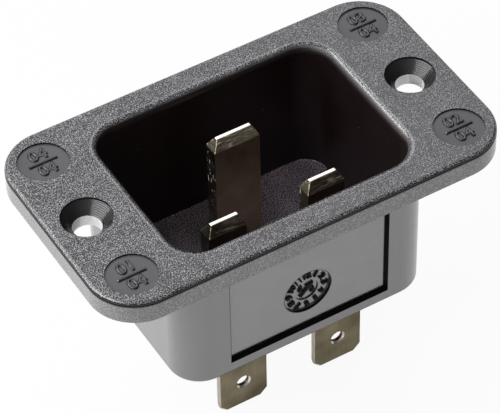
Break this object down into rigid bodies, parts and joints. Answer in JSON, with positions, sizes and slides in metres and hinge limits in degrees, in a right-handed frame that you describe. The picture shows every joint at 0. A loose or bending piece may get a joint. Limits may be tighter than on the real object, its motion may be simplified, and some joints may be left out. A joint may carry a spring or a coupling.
{
  "type": "iec panel inlet",
  "caption": "Screw-flange mains power inlet: moulded housing with a deep plug recess, flat plug pins and riveted quick-connect tabs behind the panel.",
  "frame": {"origin": "centre of the screw pattern, on the rear face of the flange, which meets the panel", "axes": "+Z out of the panel towards the plug, +X from screw to screw, -Y towards the wall with the window and the date dial"},
  "size_m": [0.052, 0.0296, 0.033],
  "materials": {
    "housing_plastic": "moulded black thermoplastic, fine spark-eroded grain on the flange, smooth walls",
    "contact_metal": "nickel-plated brass with a faint warm tone, satin"
  },
  "bodies": {
    "root": {"housing": "housing_plastic", "line_pin": "contact_metal", "neutral_pin": "contact_metal", "earth_pin": "contact_metal", "line_tab": "contact_metal", "neutral_tab": "contact_metal", "earth_tab": "contact_metal"}
  },
  "joints": []
}
